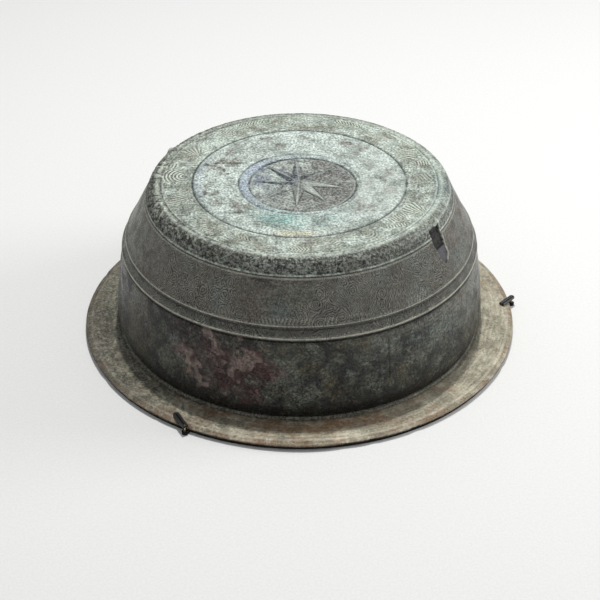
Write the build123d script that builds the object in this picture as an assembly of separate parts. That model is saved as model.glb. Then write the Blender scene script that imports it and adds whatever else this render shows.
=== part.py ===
"""Basin-shaped bronze gong lying face up on a low ring mount with three turning clips.

Millimetres, +Z up. The origin is the centre of the plane that the mount stands on, on the
gong's own axis. Polar angles are measured from +X towards +Y, seen from above.
"""

import os
from math import atan2, cos, sin

from build123d import *

# ---- gong casting: driving sizes ----
FLANGE_R = 250.0  # outer radius of the flange
FLANGE_T = 3.8  # thickness of the flange
BEVEL_W = 7.0  # width of the sloping border of the flange
BEVEL_DROP = 1.6  # how far that border falls to the outer edge
WALL = 3.8  # thickness of the bronze everywhere else
NECK_R, NECK_H = 206.5, 3.0  # where the wall meets the flange; heights are above the flange's top
NECK_FILLET = 2.5
BELLY_R, BELLY_H = 211.5, 20.0  # widest ring of the bulging wall
WAIST_R, WAIST_H = 207.6, 62.0  # half-way up the bulging wall
RIDGE_R = 1.3  # how far each raised ridge stands out
RIDGE_W = 4.6  # width of a ridge at its foot
RIDGE_SINK = 1.6  # how deep that foot lies in the wall
LOWER_RIDGE = (201.6, 101.0)  # radius and height of the ridges' middles on the wall
UPPER_RIDGE = (196.6, 113.5)
SHOULDER_R, SHOULDER_H = 173.4, 160.0  # top of the straight cone that carries the decoration
LIP_R, LIP_H = 168.8, 171.0  # where the shoulder starts to round over
FACE_R, FACE_H = 160.5, 176.4  # edge and height of the flat face

# ---- wedge-shaped break in the shoulder, and its fill ----
BREAK_POLAR = -31.5  # where it is round the shoulder
BREAK_FOOT_H = 130.0  # height of its lower tip
# its corners, from the tip: sideways, and up along the slope of the shoulder
BREAK_CORNERS = [(-2.0, 0.0), (7.5, 9.0), (9.0, 42.0), (-10.0, 42.0), (-6.5, 9.0)]
BREAK_RUN = max(y for _, y in BREAK_CORNERS)
BREAK_DEPTH = 2.9  # the outer layers of the bronze have split away this deep
FILL_RUN = 19.0  # the fill closes the break this far up from the tip
FILL_RECESS = 1.1  # how far the fill lies behind the bronze

# ---- support plate and gasket ----
PLATE_T = 3.0
PLATE_R = 247.5
PLATE_HOLE_R = 201.0
GASKET_T = 1.5
GASKET_R = 246.5
GASKET_HOLE_R = 212.0
FIXING_PCD_R = 206.5  # three countersunk holes fix the plate down
FIXING_HOLE_R = 2.25
FIXING_HEAD_R = 4.4
FIXING_POLAR = 65.0
EAR_R = 3.5  # rounded ear of the plate that carries each socket

# ---- clips: a hairpin of sheathed wire on a leg that turns in a socket ----
LEG_R = 1.0
LEG_LIFT = 0.2  # leg's end above the standing plane
SOCKET_R = 2.0
SOCKET_BORE_R = 1.05
SOCKET_H = 4.0
WIRE_R = 0.8
SHEATH_R = 1.7
SHEATH_BORE_R = 0.85
SHEATH_END = 1.0  # sheath runs past the wire's cut ends
STRAND_Y = 1.78  # half the distance between the two strands
SHEATH_CLEAR = 0.35  # air between sheath and bronze
NOTCH_CLEAR = 0.05  # the sheath is cut away this far round the leg
STUB = 2.2  # a hairpin whose round end points inward runs on past its leg by this much
# name: (polar angle, radius of the leg's axis, turn of the arm away from the gong's axis,
#        length of the arm, does the round end of the hairpin point inward)
CLIPS = {
    "right": (5.9, 253.8, 42.3, 20.0, False),
    "rear": (124.0, 253.2, 48.0, 22.0, False),
    "front": (-119.0, 252.4, 56.6, 24.0, True),
}

FLANGE_BOTTOM = PLATE_T + GASKET_T
FLANGE_TOP = FLANGE_BOTTOM + FLANGE_T
ARM_H = FLANGE_TOP + SHEATH_CLEAR + SHEATH_R


def at(radius, height):
    """A point of the gong's section, its height counted from the flange's top face."""
    return Vector(radius, FLANGE_TOP + height)


def cone_radius(height):
    """Outer radius of the straight decorated cone at a height above the flange's top."""
    t = (height - UPPER_RIDGE[1]) / (SHOULDER_H - UPPER_RIDGE[1])
    return UPPER_RIDGE[0] + t * (SHOULDER_R - UPPER_RIDGE[0])


def outer_section():
    """The outside of the casting from the flange's outer edge up to the middle of the face."""
    edge = Polyline(
        at(FLANGE_R, -FLANGE_T),
        at(FLANGE_R, -BEVEL_DROP),
        at(FLANGE_R - BEVEL_W, 0),
        at(NECK_R + NECK_FILLET, 0),
    )
    neck = Spline(
        at(NECK_R + NECK_FILLET, 0),
        at(NECK_R, NECK_H),
        at(BELLY_R, BELLY_H),
        tangents=[(-1, 0), (0, 1)],
    )
    wall_foot = ThreePointArc(at(BELLY_R, BELLY_H), at(WAIST_R, WAIST_H), at(*LOWER_RIDGE))
    between = Line(at(*LOWER_RIDGE), at(*UPPER_RIDGE))
    cone = Line(at(*UPPER_RIDGE), at(SHOULDER_R, SHOULDER_H))
    shoulder = Line(at(SHOULDER_R, SHOULDER_H), at(LIP_R, LIP_H))
    lip = RadiusArc(at(LIP_R, LIP_H), at(FACE_R, FACE_H), -9.0)
    face = Line(at(FACE_R, FACE_H), at(0, FACE_H))
    return [edge, neck, wall_foot, between, cone, shoulder, lip, face]


def inner_section():
    """The inside of the casting from the middle of the face down to the flange's underside."""
    face = Line(at(0, FACE_H - WALL), at(FACE_R - WALL, FACE_H - WALL))
    lip = Line(at(FACE_R - WALL, FACE_H - WALL), at(LIP_R - WALL, LIP_H - WALL))
    cone = Line(at(LIP_R - WALL, LIP_H - WALL), at(UPPER_RIDGE[0] - WALL, UPPER_RIDGE[1] - 2))
    wall = ThreePointArc(
        at(UPPER_RIDGE[0] - WALL, UPPER_RIDGE[1] - 2),
        at(WAIST_R - WALL, WAIST_H),
        at(BELLY_R - WALL, BELLY_H),
    )
    mouth = Line(at(BELLY_R - WALL, BELLY_H), at(NECK_R - WALL, -FLANGE_T))
    underside = Line(at(NECK_R - WALL, -FLANGE_T), at(FLANGE_R, -FLANGE_T))
    return [face, lip, cone, wall, mouth, underside]


def revolve_section(edges):
    """A solid turned about the Z axis from a closed outline of (radius, height) edges."""
    outline = Wire([edge for piece in edges for edge in piece.edges()])
    return revolve(Plane.XZ * make_face(outline), Axis.Z, 360)


def ridge(radius, height):
    """One raised ring, sunk into the wall by its foot."""
    bottom = at(radius - RIDGE_SINK, height - RIDGE_W / 2)
    top = at(radius - RIDGE_SINK, height + RIDGE_W / 2)
    crest = ThreePointArc(bottom, at(radius + RIDGE_R, height), top)
    return revolve_section([crest, Line(top, bottom)])


def break_plane():
    """Plane on the sloping cone with its origin at the lower tip and +Y up the slope."""
    slope = atan2(UPPER_RIDGE[0] - SHOULDER_R, SHOULDER_H - UPPER_RIDGE[1])
    return Plane(
        origin=(cone_radius(BREAK_FOOT_H), 0, FLANGE_TOP + BREAK_FOOT_H),
        x_dir=(0, 1, 0),
        z_dir=(cos(slope), 0, sin(slope)),
    )


def break_prism(run, from_depth, to_depth):
    """The break up to a distance from its tip, between two depths below the outer surface."""
    outline = make_face(Polyline(*BREAK_CORNERS, close=True))
    outline &= Pos(0, run / 2) * Rectangle(100, run)
    prism = extrude(Pos(0, 0, -to_depth) * outline, to_depth - from_depth, dir=(0, 0, 1))
    return Rot(0, 0, BREAK_POLAR) * (break_plane() * prism)


def gong_casting():
    """The whole instrument: face, shoulder, ridges, bulging wall and flange in one casting."""
    axis_line = Line(at(0, FACE_H), at(0, FACE_H - WALL))
    body = revolve_section(outer_section() + [axis_line] + inner_section())
    body += ridge(*LOWER_RIDGE)
    body += ridge(*UPPER_RIDGE)
    return body - break_prism(BREAK_RUN, -2 * WALL, BREAK_DEPTH)


def loss_fill():
    """Fill on the floor of the break, in its lower part, set back from the bronze around it."""
    return break_prism(FILL_RUN, FILL_RECESS, BREAK_DEPTH)


def ear_plan(polar, radius):
    """Plan of one ear: a finger from the plate's edge, round about the clip's axis."""
    finger = Rectangle(radius - PLATE_HOLE_R - 10, 2 * EAR_R, align=(Align.MAX, Align.CENTER))
    return Rot(0, 0, polar) * (Pos(radius, 0) * (finger + Circle(EAR_R)))


def support_plate():
    """Flat ring under the flange, with an ear for each clip and three countersunk holes."""
    plan = Circle(PLATE_R) - Circle(PLATE_HOLE_R)
    for polar, radius, *_ in CLIPS.values():
        plan += ear_plan(polar, radius)
        plan -= Rot(0, 0, polar) * (Pos(radius, 0) * Circle(SOCKET_R))
    plate = extrude(plan, PLATE_T)
    for spot in PolarLocations(FIXING_PCD_R, 3, start_angle=FIXING_POLAR):
        plate -= spot * (Pos(0, 0, PLATE_T / 2) * Cylinder(FIXING_HOLE_R, 2 * PLATE_T))
        sink_depth = FIXING_HEAD_R - FIXING_HOLE_R
        sink = Cone(FIXING_HOLE_R, FIXING_HEAD_R, sink_depth)
        plate -= spot * (Pos(0, 0, PLATE_T - sink_depth / 2) * sink)
    return plate


def rim_gasket():
    """Foam ring that keeps the bronze off the painted plate."""
    return Pos(0, 0, PLATE_T) * extrude(Circle(GASKET_R) - Circle(GASKET_HOLE_R), GASKET_T)


def hairpin(open_x, closed_x):
    """Line of a hairpin, from its open end to its round end and back, on the clip's own axes."""
    corners = [(open_x, STRAND_Y), (closed_x, STRAND_Y), (closed_x, -STRAND_Y), (open_x, -STRAND_Y)]
    return FilletPolyline(*[(x, y, ARM_H) for x, y in corners], radius=STRAND_Y - 0.01)


def bar_along(path, radius):
    """A round bar along a path, its ends square to it."""
    return sweep(Plane(origin=path @ 0, z_dir=path % 0) * Circle(radius), path=path)


def upright(radius, bottom, top):
    """A round bar on the clip's turning axis between two heights."""
    return Pos(0, 0, bottom) * Cylinder(radius, top - bottom, align=(Align.CENTER, Align.CENTER, Align.MIN))


def clip_parts(name):
    """The socket, leg, wire and sheath of one clip, standing at its place on the plate."""
    polar, radius, turn, arm, closed_end_inward = CLIPS[name]
    open_x, closed_x = (-STUB, arm) if closed_end_inward else (arm, -STRAND_Y)
    wire_open_x = open_x + (SHEATH_END if closed_end_inward else -SHEATH_END)
    leg = upright(LEG_R, LEG_LIFT, ARM_H + WIRE_R)
    sheath_line = hairpin(open_x, closed_x)
    sheath = bar_along(sheath_line, SHEATH_R) - bar_along(sheath_line, SHEATH_BORE_R)
    pieces = {
        "socket": upright(SOCKET_R, 0, SOCKET_H) - upright(SOCKET_BORE_R, 0, SOCKET_H),
        "leg": leg,
        "wire": bar_along(hairpin(wire_open_x, closed_x), WIRE_R) - leg,
        "sheath": sheath - upright(LEG_R + NOTCH_CLEAR, 0, ARM_H + 2 * SHEATH_R),
    }
    place = Rot(0, 0, polar) * Pos(radius, 0, 0) * Rot(0, 0, 180 + turn)
    return {f"{name}_clip_{kind}": place * solid for kind, solid in pieces.items()}


def main():
    """Build every piece and write one STEP file for each."""
    parts = {
        "gong_casting": gong_casting(),
        "loss_fill": loss_fill(),
        "support_plate": support_plate(),
        "rim_gasket": rim_gasket(),
    }
    for name in CLIPS:
        parts.update(clip_parts(name))
    os.makedirs("parts", exist_ok=True)
    for node, solid in parts.items():
        solid.label = node
        export_step(solid, f"parts/{node}.step")


main()
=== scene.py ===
"""Looks of a flanged bronze basin gong and of the low clip mount that carries it.

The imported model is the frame: everything stands in its metres. Sizes inside the classes are
millimetres, heights of the bronze are counted from the flange's top face, and polar angles run
from +X towards +Y.
"""

import logging
from dataclasses import dataclass, field
from enum import Enum
from itertools import product
from math import pi, radians

import bpy
import numpy as np
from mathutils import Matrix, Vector


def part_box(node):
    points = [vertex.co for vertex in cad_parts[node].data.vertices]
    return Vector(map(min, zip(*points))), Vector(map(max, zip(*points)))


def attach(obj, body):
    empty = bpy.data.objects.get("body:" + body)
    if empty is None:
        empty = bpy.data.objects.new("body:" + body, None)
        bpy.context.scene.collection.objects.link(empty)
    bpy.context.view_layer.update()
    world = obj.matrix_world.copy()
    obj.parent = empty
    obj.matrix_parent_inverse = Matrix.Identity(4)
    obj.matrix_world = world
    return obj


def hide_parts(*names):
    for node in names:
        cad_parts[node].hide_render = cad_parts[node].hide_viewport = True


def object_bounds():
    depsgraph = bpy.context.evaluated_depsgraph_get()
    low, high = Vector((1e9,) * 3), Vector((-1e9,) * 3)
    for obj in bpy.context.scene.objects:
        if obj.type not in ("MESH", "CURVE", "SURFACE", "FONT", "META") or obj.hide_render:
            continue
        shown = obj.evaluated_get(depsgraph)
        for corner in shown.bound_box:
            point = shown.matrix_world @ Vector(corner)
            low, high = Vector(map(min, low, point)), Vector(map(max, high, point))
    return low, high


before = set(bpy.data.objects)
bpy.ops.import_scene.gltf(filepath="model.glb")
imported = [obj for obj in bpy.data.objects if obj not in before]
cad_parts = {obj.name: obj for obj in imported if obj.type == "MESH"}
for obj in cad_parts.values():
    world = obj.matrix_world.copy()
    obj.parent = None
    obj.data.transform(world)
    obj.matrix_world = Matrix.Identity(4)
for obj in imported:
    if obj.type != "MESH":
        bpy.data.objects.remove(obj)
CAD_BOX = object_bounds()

LOG = logging.getLogger("gong")
MM = 0.001
SHARP_EDGE = 62.0  # faces that meet at more than this many degrees keep a hard edge
UNROLL_R = 190.0  # mean radius on which the wall's line work is unrolled, in mm
ROOT = "root"
MASKS = ("raised", "incised", "pitted", "broken", "brown", "warm", "cool", "blue", "grime")

Array = np.ndarray
Pair = tuple[float, float]
Colour = tuple[float, float, float]
Socket = bpy.types.NodeSocket


def smooth(low: float, high: float, x: Array) -> Array:
    """Smoothstep: nought below low, one above high, 3t^2 - 2t^3 between.

    Args:
        low: where the step starts.
        high: where it ends; it may be lower than low for a falling step.
        x: the values.

    Returns:
        The step at each value.
    """
    t = np.clip((x - low) / (high - low), 0.0, 1.0)
    return t * t * (3.0 - 2.0 * t)


def band(low: float, high: float, soft: float, x: Array) -> Array:
    """One between low and high, falling to nought over twice soft at both ends."""
    return smooth(low - soft, low + soft, x) * (1.0 - smooth(high - soft, high + soft, x))


def line(place: float, half_width: float, x: Array) -> Array:
    """Bell curve exp(-(d / half_width)^2) about a place."""
    return np.exp(-(((x - place) / half_width) ** 2))


def turned(theta: Array, polar: float) -> Array:
    """Angle from a polar angle in degrees, wrapped to plus or minus half a turn, in radians."""
    return (theta - radians(polar) + pi) % (2.0 * pi) - pi


def towards(theta: Array, polar: float, width: float) -> Array:
    """Bell curve round the ring, about a polar angle and with a half width, both in degrees."""
    return line(0.0, radians(width), turned(theta, polar))


def blot(
    theta: Array, s: Array, radius: Array, polar: float, place: float, wide: float, deep: float
) -> Array:
    """Bell-shaped spot on the surface about a polar angle and an arc length, wide round the ring
    and deep along the outline."""
    return np.exp(-((turned(theta, polar) * radius / wide) ** 2) - ((s - place) / deep) ** 2)


def paint(red: int, green: int, blue: int) -> Colour:
    """Linear colour of a paint given as it looks on a screen, 0 to 255."""
    values = np.array([red, green, blue]) / 255.0
    linear = np.where(values <= 0.04045, values / 12.92, ((values + 0.055) / 1.055) ** 2.4)
    return tuple(float(v) for v in linear)


@dataclass(frozen=True)
class LatticeNoise:
    """Smooth noise: random values on a cubic lattice, blended by a smoothstep between corners."""

    seed: int
    size: int = 4096

    def __call__(self, points: Array, cell: float) -> Array:
        """Noise between -1 and 1.

        Args:
            points: places, with their three coordinates last.
            cell: spacing of the lattice.

        Returns:
            One value for each point.
        """
        table = np.random.default_rng(self.seed).uniform(-1.0, 1.0, self.size)
        scaled = points / cell
        base = np.floor(scaled).astype(np.int64)
        part = scaled - base
        part = part * part * (3.0 - 2.0 * part)
        total = np.zeros(points.shape[:-1])
        for corner in product((0, 1), repeat=3):
            cells = (base + corner) * (73856093, 19349663, 83492791)
            hashed = (cells[..., 0] ^ cells[..., 1] ^ cells[..., 2]) & (self.size - 1)
            weight = np.prod(np.where(corner, part, 1.0 - part), axis=-1)
            total += weight * table[hashed]
        return total


# ---------------------------------------------------------------- outline of the bronze


def hermite(a: Pair, b: Pair, ta: Pair, tb: Pair, count: int) -> Array:
    """Cubic from a to b that leaves along ta and arrives along tb."""
    a, b, ta, tb = (np.array(v) for v in (a, b, ta, tb))
    t = np.linspace(0.0, 1.0, count)[:, None]
    return (
        (2 * t**3 - 3 * t**2 + 1) * a
        + (t**3 - 2 * t**2 + t) * ta
        + (3 * t**2 - 2 * t**3) * b
        + (t**3 - t**2) * tb
    )


def arc_through(a: Pair, b: Pair, c: Pair, count: int) -> Array:
    """Circle arc from a through b to c.

    The centre is where the bisectors of ab and bc meet; the angle runs evenly.
    """
    a, b, c = (np.array(v) for v in (a, b, c))
    normals = np.array([b - a, c - b])
    middles = np.array([(a + b) / 2, (b + c) / 2])
    centre = np.linalg.solve(normals, (normals * middles).sum(axis=1))
    radius = np.linalg.norm(a - centre)
    start, end = (np.arctan2(*(p - centre)[::-1]) for p in (a, c))
    angle = start + np.linspace(0, 1, count) * ((end - start + pi) % (2 * pi) - pi)
    return centre + radius * np.stack([np.cos(angle), np.sin(angle)], axis=1)


@dataclass
class BronzeOutline:
    """Outside of the bronze as a line of (radius, height) that runs from the face's middle to
    the flange's edge, measured along by its arc length s."""

    flange_r: float
    wall: float = 3.8
    bevel_w: float = 7.0
    bevel_drop: float = 1.6
    neck: Pair = (206.5, 3.0)
    neck_fillet: float = 2.5
    belly: Pair = (211.5, 20.0)
    waist: Pair = (207.6, 62.0)
    lower_ridge: Pair = (201.6, 101.0)
    upper_ridge: Pair = (196.6, 113.5)
    shoulder: Pair = (173.4, 160.0)
    lip: Pair = (168.8, 171.0)
    face: Pair = (160.5, 176.4)
    step: float = 0.25
    s: Array = field(init=False)
    points: Array = field(init=False)
    normals: Array = field(init=False)
    ends: dict[str, float] = field(init=False)

    def __post_init__(self) -> None:
        """Join the runs of the line and measure it."""
        shoulder_dir = np.subtract(self.shoulder, self.lip)
        shoulder_dir = shoulder_dir / np.linalg.norm(shoulder_dir)
        fillet = (self.neck[0] + self.neck_fillet, 0.0)
        crest, rim = (self.flange_r - self.bevel_w, 0.0), (self.flange_r, -self.bevel_drop)
        runs = {
            "face": self._straight((0.0, self.face[1]), self.face),
            "lip": hermite(self.face, self.lip, (12.0, 0.0), 10.0 * shoulder_dir, 41),
            "shoulder": self._straight(self.lip, self.shoulder),
            "cone": self._straight(self.shoulder, self.upper_ridge),
            "ridges": self._straight(self.upper_ridge, self.lower_ridge),
            "wall": arc_through(self.lower_ridge, self.waist, self.belly, 321),
            "neck": hermite(self.belly, self.neck, (0.5, -18.0), (0.0, -12.0), 61),
            "fillet": hermite(self.neck, fillet, (0.0, -4.5), (4.5, 0.0), 21),
            "flange": self._straight(fillet, crest),
            "bevel": self._straight(crest, rim),
            "edge": self._straight(rim, (self.flange_r, -self.wall)),
        }
        parts = list(runs.values())
        self.points = np.concatenate([parts[0]] + [p[1:] for p in parts[1:]])
        gaps = np.linalg.norm(np.diff(self.points, axis=0), axis=1)
        self.s = np.concatenate([[0.0], np.cumsum(gaps)])
        counts = np.cumsum([len(parts[0]) - 1] + [len(p) - 1 for p in parts[1:]])
        self.ends = dict(zip(runs, self.s[counts]))
        tangents = np.gradient(self.points, self.s, axis=0)
        tangents /= np.linalg.norm(tangents, axis=1)[:, None]
        self.normals = np.stack([-tangents[:, 1], tangents[:, 0]], axis=1)

    def _straight(self, a: Pair, b: Pair) -> Array:
        """Points of a straight run at about even steps."""
        count = max(2, int(np.hypot(b[0] - a[0], b[1] - a[1]) / self.step) + 1)
        return np.linspace(a, b, count)

    def at(self, s: Array) -> tuple[Array, Array]:
        """Points and outward normals at arc lengths, each as (radius, height) pairs."""
        point = np.stack([np.interp(s, self.s, self.points[:, i]) for i in (0, 1)], axis=-1)
        normal = np.stack([np.interp(s, self.s, self.normals[:, i]) for i in (0, 1)], axis=-1)
        return point, normal / np.linalg.norm(normal, axis=-1)[..., None]

    def on_cone(self, height: float) -> float:
        """Arc length of the straight cone's point at a height."""
        share = (self.shoulder[1] - height) / (self.shoulder[1] - self.upper_ridge[1])
        return self.ends["shoulder"] + share * (self.ends["cone"] - self.ends["shoulder"])


# ---------------------------------------------------------------- relief of the bronze


class Stroke(Enum):
    """Kinds of line work in the ornament."""

    FAN = "fan"
    COMB = "comb"
    CHEVRONS = "chevrons"
    ARCS = "arcs"


@dataclass(frozen=True)
class Motif:
    """One patch of line work, at a polar angle and an arc length, turned in its own plane."""

    kind: Stroke
    polar: float
    place: float
    half_long: float
    half_wide: float
    pitch: float
    turn: float = 0.0
    strength: float = 1.0

    def lines(self, theta: Array, s: Array, radius: Array) -> tuple[Array, Array]:
        """How much each point is on a line of the motif, and in its patch.

        The place is turned into lengths (u, v) in the patch. A comb is cos(u), a fan is the
        cosine of the angle about a point outside the patch, chevrons are cos(u + |v|), arcs are
        the cosine of the distance from that point; each is cut off by a rounded box.

        Args:
            theta: polar angles.
            s: arc lengths.
            radius: radii of the points.

        Returns:
            The lines and the patch, from 0 to 1.
        """
        along, down = turned(theta, self.polar) * radius, s - self.place
        c, k = np.cos(radians(self.turn)), np.sin(radians(self.turn))
        u, v = c * along + k * down, c * down - k * along
        if self.kind is Stroke.COMB:
            phase = u / self.pitch
        elif self.kind is Stroke.CHEVRONS:
            phase = (u + 0.8 * np.abs(v)) / self.pitch
        elif self.kind is Stroke.FAN:
            reach = 2.2 * self.half_wide
            phase = np.arctan2(u, v + reach) * reach / self.pitch
        else:
            phase = np.hypot(u, v + self.half_wide) / self.pitch
        mask = (1.0 - smooth(0.82, 1.05, np.abs(u) / self.half_long)) * (
            1.0 - smooth(0.82, 1.05, np.abs(v) / self.half_wide)
        )
        mask = self.strength * mask
        return mask * smooth(0.35, 0.8, 0.5 + 0.5 * np.cos(2 * pi * phase)), mask


FACE_MOTIFS = (
    Motif(Stroke.CHEVRONS, 113, 146, 17, 6.5, 3.7),
    Motif(Stroke.CHEVRONS, 127, 143, 12, 8, 3.9, 30, 0.7),
    Motif(Stroke.CHEVRONS, 67, 145, 17, 6.5, 3.7, 180),
    Motif(Stroke.ARCS, 90, 138, 12, 7, 3.8, 0, 0.45),
    Motif(Stroke.FAN, 27, 136, 13, 12, 3.6, 30),
    Motif(Stroke.COMB, 16, 147, 9, 5.5, 3.0, 100),
    Motif(Stroke.FAN, -27, 140, 12, 12, 3.6, 200),
    Motif(Stroke.COMB, -37, 133, 13, 3.6, 3.2, 15),
    Motif(Stroke.COMB, -43, 142, 13, 3.4, 3.2, 30, 0.8),
    Motif(Stroke.ARCS, 176, 142, 14, 12, 4.0),
    Motif(Stroke.COMB, 167, 150, 9, 5, 3.6, 90, 0.8),
    Motif(Stroke.FAN, 151, 140, 11, 9, 3.6, 30, 0.8),
    Motif(Stroke.COMB, -162, 141, 13, 7, 3.7, 40, 0.7),
    Motif(Stroke.COMB, -141, 134, 14, 3.8, 3.4, 35),
    Motif(Stroke.COMB, -133, 145, 13, 3.6, 3.5, 20, 0.7),
    Motif(Stroke.CHEVRONS, -116, 138, 12, 5, 3.6, 0, 0.5),
    Motif(Stroke.CHEVRONS, -90, 145, 11, 4.5, 3.4, 0, 0.9),
    Motif(Stroke.COMB, -74, 137, 10, 3, 3.8, 60, 0.5),
    Motif(Stroke.ARCS, -58, 141, 11, 7, 3.8, 0, 0.5),
    Motif(Stroke.COMB, 3, 140, 9, 8, 3.8, 70, 0.5),
    Motif(Stroke.COMB, 48, 140, 11, 5, 3.6, 40, 0.5),
)
# polar angle, arc length and half sizes of the worn, brownish patches on the face
FACE_STAINS = (
    (165, 107, 13, 10), (152, 88, 16, 11), (140, 106, 15, 9), (112, 104, 17, 8), (88, 100, 12, 8),
    (57, 100, 17, 9), (24, 88, 13, 9), (-11, 104, 14, 10), (-40, 95, 17, 12), (-140, 88, 17, 14),
    (-152, 104, 10, 8), (-102, 92, 9, 7),
)


@dataclass
class BronzeRelief:
    """What stands out of or is sunk into the bronze's outside, and the masks that colour it."""

    outline: BronzeOutline
    medallion_r: float = 60.0
    medallion_ring_r: float = 68.0
    disc_at: Pair = (3.8, -7.0)
    ring_at: Pair = (0.0, -5.5)
    star_at: Pair = (-0.5, -2.3)
    field_r: float = 119.75
    border_r: float = 155.0
    ray_polars: tuple[float, ...] = (40, 94, 135, 178, -136, -93, -55, -14)
    dark_rays: tuple[float, ...] = (40, 94, 135, 178)
    ray_half_w: float = 8.5
    ray_reach: float = 51.0
    ridge_rise: float = 1.3
    ridge_half_w: float = 2.5
    break_polar: float = -31.5
    break_foot_h: float = 130.0
    break_corners: tuple = ((-2.0, 0.0), (7.5, 9.0), (9.0, 42.0), (-10.0, 42.0), (-6.5, 9.0))
    break_depth: float = 2.9
    seam_polar: float = -62.5
    stroke_count: int = 300
    stroke_slant: float = 1.6
    coarse: LatticeNoise = LatticeNoise(11)
    fine: LatticeNoise = LatticeNoise(23)

    def __call__(self, theta: Array, s: Array) -> tuple[Array, dict[str, Array]]:
        """Relief along the normal, in mm, and the colour masks.

        Args:
            theta: polar angles of the grid.
            s: arc lengths of the grid.

        Returns:
            The relief, and a value from 0 to 1 at each point for each named mask.
        """
        (point, _) = self.outline.at(s)
        radius, height = point[..., 0], point[..., 1]
        spot = np.stack([radius * np.cos(theta), radius * np.sin(theta), height], axis=-1)
        grain = {c: self.coarse(spot, c) for c in (60.0, 21.0, 9.0)}
        grain |= {c: self.fine(spot, c) for c in (5.0, 2.7, 1.6)}
        masks = {name: np.zeros_like(s) for name in MASKS}
        relief = 0.25 * grain[60.0] + 0.10 * grain[21.0] + 0.04 * grain[9.0]
        for part in (self._face, self._border, self._lip, self._cone, self._ridges, self._wall, self._rim):
            relief = relief + part(theta, s, radius, grain, masks)
        relief = relief + self._break(theta, s, radius, grain, masks)
        return relief, {name: np.clip(mask, 0.0, 1.0) for name, mask in masks.items()}

    def _face(self, theta: Array, s: Array, radius: Array, grain: dict, masks: dict) -> Array:
        """Star, its two rings, which are not quite concentric, and the plain field round it."""
        x, y = s * np.cos(theta), s * np.sin(theta)
        (disc_x, disc_y), (ring_x, ring_y), (star_x, star_y) = self.disc_at, self.ring_at, self.star_at
        from_disc = np.hypot(x - disc_x, y - disc_y) - self.medallion_r
        from_ring = np.hypot(x - ring_x, y - ring_y) - self.medallion_ring_r
        on_disc = 1.0 - smooth(-1.2, 0.8, from_disc)
        from_hub, around = np.hypot(x - star_x, y - star_y), np.arctan2(y - star_y, x - star_x)
        on_ray, outlined, spine, sunk = (np.zeros_like(s) for _ in range(4))
        for polar in self.ray_polars:
            away = turned(around, polar)
            along, beside = from_hub * np.cos(away), from_hub * np.sin(away)
            half = self.ray_half_w * (1 - along / self.ray_reach)
            ahead = band(4.0, self.ray_reach, 1.0, along)
            ray = (1 - smooth(-0.7, 0.5, np.abs(beside) - half)) * ahead
            dark = 1.0 if polar in self.dark_rays else 0.12
            on_ray = np.maximum(on_ray, ray)
            sunk = np.maximum(sunk, dark * ray * (0.4 + 0.6 * smooth(-1.5, 1.5, beside)))
            outlined = np.maximum(outlined, line(0.0, 0.9, np.abs(beside) - half - 0.7) * ahead)
            spine = np.maximum(spine, line(0.0, 0.8, beside) * ahead)
        hub = line(5.5, 0.9, from_hub)
        ring, outer = line(0.0, 1.4, from_disc), line(0.0, 1.3, from_ring)
        worn = np.clip(0.8 + 0.35 * grain[21.0] + 0.3 * grain[5.0], 0.2, 1.2)
        field_only = band(70, 117, 3, s)
        pits = smooth(0.42, 0.75, grain[5.0] + 0.25 * grain[21.0]) * field_only
        pits *= 0.35 + 0.65 * towards(theta, 170, 50)
        stains = sum(
            blot(theta, s, radius, polar, place, wide, deep)
            for polar, place, wide, deep in FACE_STAINS
        )
        ragged = smooth(-0.1, 0.45, stains - 0.45 + 0.35 * grain[9.0] + 0.3 * grain[5.0])
        left = towards(theta, 165, 75)
        masks["incised"] += (ring * 1.1 + outer * (0.6 + 0.5 * left)) * worn
        masks["incised"] += (sunk * 0.85 + hub * 0.3 + 0.9 * outlined * on_disc) * worn
        masks["blue"] += (
            0.8 * on_disc * towards(theta, 165, 50) * smooth(-0.3, 0.4, grain[9.0]) + 0.5 * sunk
        )
        masks["grime"] -= 0.35 * on_disc * towards(theta, 170, 55)
        masks["blue"] += (
            (0.6 + 0.3 * grain[9.0]) * (1 - on_disc) * (1 - smooth(-1.0, 1.0, from_ring)) * left
        )
        masks["blue"] += (
            0.45 * line(114, 5, s) * towards(theta, 178, 22) + 0.5 * outer * towards(theta, -115, 30)
        )
        masks["raised"] += (0.5 * on_ray * towards(theta, -35, 45) + 0.4 * spine) * on_disc * worn
        masks["raised"] += (
            (0.4 * line(2.4, 0.9, from_ring) + 0.5 * line(-2.2, 0.9, from_disc) * towards(theta, 0, 50))
            * worn
        )
        masks["raised"] += 0.3 * on_disc * smooth(0.3, 0.7, grain[2.7])
        masks["grime"] += (
            on_disc * (0.75 + 0.25 * towards(theta, 0, 70) + 0.35 * grain[9.0] + 0.25 * grain[5.0])
        )
        masks["pitted"] += pits + 0.45 * on_disc * smooth(0.25, 0.7, grain[2.7] + 0.5 * grain[9.0])
        worn_through = smooth(-0.25, 0.35, grain[5.0] + 0.5 * grain[2.7])
        masks["brown"] += ragged * field_only * (0.4 + 0.6 * worn_through)
        masks["brown"] += 0.6 * field_only * smooth(0.1, 0.6, grain[21.0] + 0.6 * grain[9.0]) * worn_through
        masks["pitted"] += 0.3 * field_only * smooth(0.2, 0.6, grain[1.6] + 0.5 * grain[9.0])
        masks["raised"] += 0.5 * field_only * smooth(0.3, 0.7, -grain[1.6] - 0.4 * grain[21.0])
        # painted light: the field is made paler towards the right
        masks["raised"] += 0.5 * field_only * towards(theta, -5, 45) * smooth(-0.5, 0.3, grain[9.0])
        masks["grime"] += (
            0.35 * field_only * towards(theta, -85, 40) * smooth(-0.3, 0.5, grain[21.0] + 0.6 * grain[5.0])
        )
        masks["pitted"] += 0.5 * ragged * field_only * smooth(0.1, 0.6, grain[2.7])
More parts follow.
